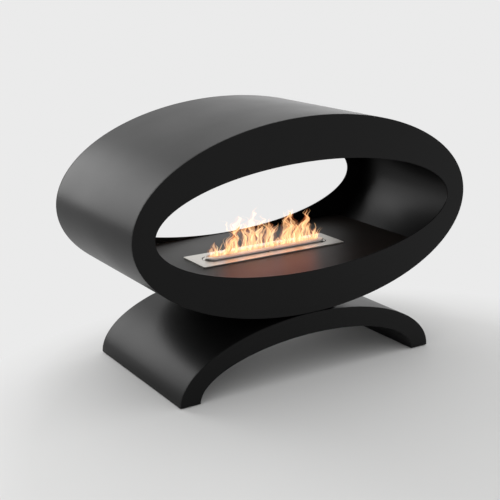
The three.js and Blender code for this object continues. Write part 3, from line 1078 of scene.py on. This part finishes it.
# strokes of the brushing: (waves per metre along, waves per metre across, depth)
BRUSHED = (12.0, 1800.0, 0.00002)
PRESSED = (20.0, 900.0, 0.00001)
TUMBLED = (300.0, 700.0, 0.00002)
stainless = brushed_metal(
    "brushed_stainless", (0.44, 0.42, 0.39), (0.56, 0.54, 0.50), (0.30, 0.42), *BRUSHED
)
pressed_steel = brushed_metal(
    "pressed_stainless", (0.50, 0.47, 0.43), (0.62, 0.59, 0.55), (0.30, 0.40), *PRESSED
)
# paler than the plate: partly heat-dulled steel, partly painted light from the fire
dulled_steel_painted_firelight = brushed_metal(
    "dulled_stainless", (0.70, 0.66, 0.62), (0.82, 0.78, 0.74), (0.50, 0.60), *PRESSED, metallic=0.5
)
zinc_plate = brushed_metal(
    "zinc_plate", (0.48, 0.50, 0.52), (0.62, 0.63, 0.64), (0.34, 0.50), *TUMBLED
)

# %% [markdown]
# ### Fibre, rubber and flame
#
# The wadding is matt and fluffy, and a little scorched. The rubber is matt with a fine pebble.
# The flame takes its colour from the heat stored on its points: pale near the foot, orange at the
# tips. Both layers are strong in light and thin in body, so where tongues overlap their light adds
# up, as it does in a real fire, and what is behind them shows through the gaps.

# %% Ceramic fibre
ceramic_fibre, tree, shader, place = finish("ceramic_fibre", Roughness=0.95, Specular_IOR_Level=0.2)
scorch = span(tree, noise(tree, place, 70.0, 4.0), 0, 1, 0.4, 0.65)
fluff = noise(tree, place, 900.0, 4.0)
fibre_colour = blend(tree, scorch, (0.84, 0.80, 0.71), (0.42, 0.37, 0.31))
wire(tree, shader, colour=fibre_colour, height=fluff, depth=0.0005)

# %% Black rubber
black_rubber, tree, shader, place = finish("black_rubber", Specular_IOR_Level=0.3)
pebble = node(tree, "ShaderNodeTexVoronoi", Vector=place, Scale=1200.0)
wear = noise(tree, place, 60.0, 3.0)
wire(
    tree,
    shader,
    colour=blend(tree, wear, (0.008, 0.008, 0.008), (0.022, 0.022, 0.021)),
    roughness=span(tree, wear, 0.78, 0.92),
    height=pebble.outputs["Distance"],
    depth=0.0001,
)


# %% Flames
def stops(tree, value, colours):
    """A ramp through colours at their positions."""
    ramp = node(tree, "ShaderNodeValToRGB", Fac=value)
    elements = ramp.color_ramp.elements
    elements.remove(elements[1])
    elements[0].position = colours[0][0]
    elements[0].color = (*colours[0][1], 1)
    for position, colour in colours[1:]:
        elements.new(position).color = (*colour, 1)
    return ramp.outputs["Color"]


FLAME_STRENGTH = 10.0
FLICKER = (120, 120, 30)  # waves per metre


def flame(name, colours, solidity):
    """A glowing finish whose colours and opacity run from the tip to the foot of each tongue."""
    material, tree, shader, place = finish(name, Roughness=1.0, Specular_IOR_Level=0.0)
    shader.inputs["Base Color"].default_value = (0, 0, 0, 1)
    shader.inputs["Emission Strength"].default_value = FLAME_STRENGTH
    heat = node(tree, "ShaderNodeAttribute", {"attribute_name": "heat"}).outputs["Fac"]
    pulled = node(tree, "ShaderNodeMapping", Vector=place, Scale=FLICKER)
    flicker = noise(tree, pulled.outputs["Vector"], 1.0, 2.0)
    warmth = combine(tree, "ADD", heat, span(tree, flicker, -0.3, 0.3, 0.3, 0.7))
    tree.links.new(stops(tree, warmth, colours), shader.inputs["Emission Color"])
    greys = [(share, (value,) * 3) for share, value in solidity]
    tree.links.new(stops(tree, heat, greys), shader.inputs["Alpha"])
    return material


core_flame = flame(
    "flame_core",
    [
        (0.05, (1.0, 0.56, 0.26)),
        (0.28, (1.0, 0.78, 0.44)),
        (0.55, (1.0, 0.90, 0.64)),
        (0.85, (1.0, 0.90, 0.70)),
    ],
    [(0.0, 0.025), (0.35, 0.050), (0.80, 0.045), (1.0, 0.010)],
)
veil_flame = flame(
    "flame_veil",
    [(0.05, (1.0, 0.26, 0.08)), (0.35, (1.0, 0.42, 0.22)), (0.70, (1.0, 0.55, 0.38))],
    [(0.0, 0.005), (0.4, 0.011), (0.80, 0.010), (1.0, 0.002)],
)

# %% [markdown]
# ## What each piece is made of and moves with
#
# A new piece stands for a solid, which is hidden, takes its finish, and rides on the body that
# carries it: the fireplace itself, the burner that lifts out of the hearth, or the trough that
# lifts out of the burner. The trough's rim and cover and the flames stand for none.


# %% Dress the new pieces
def coat(piece, look):
    piece.data.materials.clear()
    piece.data.materials.append(look)


def dress(piece, look, slot, body, *nodes):
    coat(piece, look)
    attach(piece, body)
    if nodes:
        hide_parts(*nodes)


for solid, piece in black_sheets.items():
    dress(piece, outer_coat, "black_coat", "fireplace", solid)
dress(fire_plate, stainless, "stainless", "burner", "burner_plate")
dress(fire_trough, dulled_steel_painted_firelight, "stainless", "trough", "fuel_trough")
dress(trough_rim, stainless, "stainless", "trough")
dress(trough_cover, dulled_steel_painted_firelight, "stainless", "trough")
dress(front_tab, stainless, "stainless", "trough", "trough_tab_front")
dress(rear_tab, stainless, "stainless", "trough", "trough_tab_rear")
dress(fibre_wick, ceramic_fibre, "ceramic_fibre", "trough", "ceramic_wick")
for solid, piece in small_pieces.items():
    if solid.startswith("floor_pad_"):
        dress(piece, black_rubber, "black_rubber", "fireplace", solid)
    else:
        dress(piece, zinc_plate, "zinc_steel", "fireplace", solid)
for fire, look in ((flame_cores, core_flame), (flame_veils, veil_flame)):
    coat(fire, look)
    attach(fire, "trough")

# %% Dress the solids that stay
PAINTED_INSIDE = (
    "hearth_angle_front", "hearth_angle_rear", "burner_rail_left", "burner_rail_right",
    "saddle_plate", "arch_mid_rib", "foot_plate_left", "foot_plate_right",
)
kept_solids = (
    (hearth_coat, ("hearth_plate",)),
    (inner_coat, PAINTED_INSIDE),
    (black_rubber, ("saddle_strip_left", "saddle_strip_right")),
    (pressed_steel, ("burner_casing", "trough_stand_left", "trough_stand_right")),
    (zinc_plate, ["crush_tube_" + side for side in SIDES]),
)
for look, solids in kept_solids:
    for solid in solids:
        coat(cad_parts[solid], look)
print(sum(len(solids) for _, solids in kept_solids), "solids keep their own shape")

# %% [markdown]
# ## The studio
#
# A plain pale floor runs on into a pale background. Near the object the floor is a real surface
# that catches its shadow. Far from it, what the camera and the reflections see fades to the plain
# background tone. Three soft boxes stand behind the object and give the skins their sheen: a tall
# one on the left, a low one on the right and a wide one above. A ceiling light fills the shadows.

# %% Floor and background
BACKDROP = (0.83, 0.83, 0.83)
AMBIENT = (0.8, 0.8, 0.8)
FLOOR_SIZE = 80


def seen_directly(tree):
    """1 for rays from the camera and for reflections, 0 for the rays that light the room."""
    path = tree.nodes.new("ShaderNodeLightPath")
    total = path.outputs["Is Camera Ray"]
    for label in ("Is Glossy Ray", "Is Transmission Ray"):
        total = combine(tree, "MAXIMUM", total, path.outputs[label])
    return total


floor = add("studio_floor", bpy.ops.mesh.primitive_plane_add, size=FLOOR_SIZE, location=(0, 0, 0))
pale_floor, tree, shader, place = finish("pale_floor", Roughness=0.75, Specular_IOR_Level=0.2)
mottle = noise(tree, place, 3.0, 2.0)
wire(tree, shader, colour=blend(tree, mottle, (0.70, 0.70, 0.695), (0.72, 0.72, 0.715)))


def ellipse_reach(tree, place, middle, radii):
    """How far a point of the floor is from a middle, where 1 is on an ellipse."""
    scale = [1 / r for r in radii] + [0]
    offset = [-m * k for m, k in zip((*middle, 0), scale)]
    moved = node(tree, "ShaderNodeMapping", Vector=place, Location=offset, Scale=scale)
    reach = node(tree, "ShaderNodeVectorMath", {"operation": "LENGTH"})
    tree.links.new(moved.outputs["Vector"], reach.inputs[0])
    return reach.outputs["Value"]


# the floor fades out past a circle in front of the object, and never within an ellipse round its base
FADE_MIDDLE = (-0.05, -0.5)
FADE_SPAN = (0.70, 0.95)  # metres from there
BASE_RADII = (0.42, 0.27)
BASE_SPAN = (1.0, 1.45)  # in those radii, from the object's middle
away = span(tree, ellipse_reach(tree, place, FADE_MIDDLE, (1, 1)), 0, 1, *FADE_SPAN)
clear = span(tree, ellipse_reach(tree, place, (0, 0), BASE_RADII), 0, 1, *BASE_SPAN)
faded = combine(tree, "MULTIPLY", away, clear)
mask = combine(tree, "MULTIPLY", faded, seen_directly(tree))
glow = node(tree, "ShaderNodeEmission", Color=(*BACKDROP, 1), Strength=1.0)
mixed = tree.nodes.new("ShaderNodeMixShader")
tree.links.new(mask, mixed.inputs[0])
tree.links.new(shader.outputs["BSDF"], mixed.inputs[1])
tree.links.new(glow.outputs["Emission"], mixed.inputs[2])
tree.links.new(mixed.outputs["Shader"], tree.nodes["Material Output"].inputs["Surface"])
floor.data.materials.append(pale_floor)

world = bpy.data.worlds.new("studio")
bpy.context.scene.world = world
world.use_nodes = True
sky = world.node_tree
background = sky.nodes["Background"]
background.inputs["Strength"].default_value = 1.0
ambient = blend(sky, seen_directly(sky), AMBIENT, BACKDROP)
sky.links.new(ambient, background.inputs["Color"])


# %% Soft boxes
def soft_box(name, place, target, width, height, brightness, colour=(1, 1, 1)):
    """A rectangular lamp. brightness is that of its face, where 1 is white."""
    deselect()
    bpy.ops.object.light_add(type="AREA", location=place)
    lamp = bpy.context.object
    lamp.name = lamp.data.name = name
    lamp.data.shape = "RECTANGLE"
    lamp.data.size = width
    lamp.data.size_y = height
    lamp.data.energy = brightness * math.pi * width * height
    lamp.data.color = colour
    lamp.rotation_euler = (Vector(target) - Vector(place)).to_track_quat("-Z", "Y").to_euler()
    lamp.visible_camera = False
    return lamp


OBJECT_MIDDLE = (0, 0, 0.35)
soft_box("left_rear_soft_box", (-1.65, 4.4, 1.95), OBJECT_MIDDLE, 2.5, 3.4, 3.6)
soft_box("right_rear_soft_box", (2.8, 4.3, 0.75), OBJECT_MIDDLE, 2.6, 1.1, 1.2)
soft_box("high_rear_soft_box", (1.2, 3.5, 2.9), OBJECT_MIDDLE, 3.4, 1.6, 0.6)
soft_box("ceiling_soft_box", (0.2, 0.3, 3.2), (0, 0, 0), 3.2, 3.2, 0.7)

# %% [markdown]
# ### The light of the fire
#
# The glow of the embers reddens the plate and the hearth in front of the flames. Three small warm
# lamps hang before the fire, look down at the hearth, and move with the trough.

# %% Hang the fire's lamps
EMBER = (1.0, 0.07, 0.0)
GLOW_SIZE = (0.09, 0.05)
GLOW_BRIGHTNESS = 1.7
GLOW_PLACE = (-0.022, wick_top + 0.05)
GLOW_TARGET = (-0.102, wick_top + 0.02)
for number, x in enumerate((-GLOW_SIZE[0], 0.0, GLOW_SIZE[0]), 1):
    ends = (x, *GLOW_PLACE), (x, *GLOW_TARGET)
    glow_lamp = soft_box(f"fire_light_{number}", *ends, *GLOW_SIZE, GLOW_BRIGHTNESS, EMBER)
    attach(glow_lamp, "trough")

# %% [markdown]
# ## The camera
#
# The photograph looks at the front left corner from a little above. The place, the turn and the
# lens were worked out from the ovals' outlines.

# %% Set up the camera
CAMERA_PLACE = Vector((-1.2868, -1.9475, 0.9222))
CAMERA_TURN = math.radians(32.52)
CAMERA_TILT = math.radians(15.97)
CAMERA_ROLL = math.radians(-0.20)
LENS = 72.37
SENSOR_WIDTH = 36
FARTHEST_SEEN = 200
level = math.cos(CAMERA_TILT)
facing = Vector(
    (math.sin(CAMERA_TURN) * level, math.cos(CAMERA_TURN) * level, -math.sin(CAMERA_TILT))
)
deselect()
bpy.ops.object.camera_add(location=CAMERA_PLACE)
camera = bpy.context.object
camera.name = "camera"
camera.rotation_euler = (
    facing.to_track_quat("-Z", "Y").to_matrix() @ Matrix.Rotation(CAMERA_ROLL, 3, "Z")
).to_euler()
camera.data.sensor_width = SENSOR_WIDTH
camera.data.lens = LENS
camera.data.clip_end = FARTHEST_SEEN
bpy.context.scene.camera = camera
bpy.context.scene.view_settings.view_transform = "Standard"
print("camera looks along", [round(v, 3) for v in facing])

# %% [markdown]
# ## The end

# %% Finish
deselect()
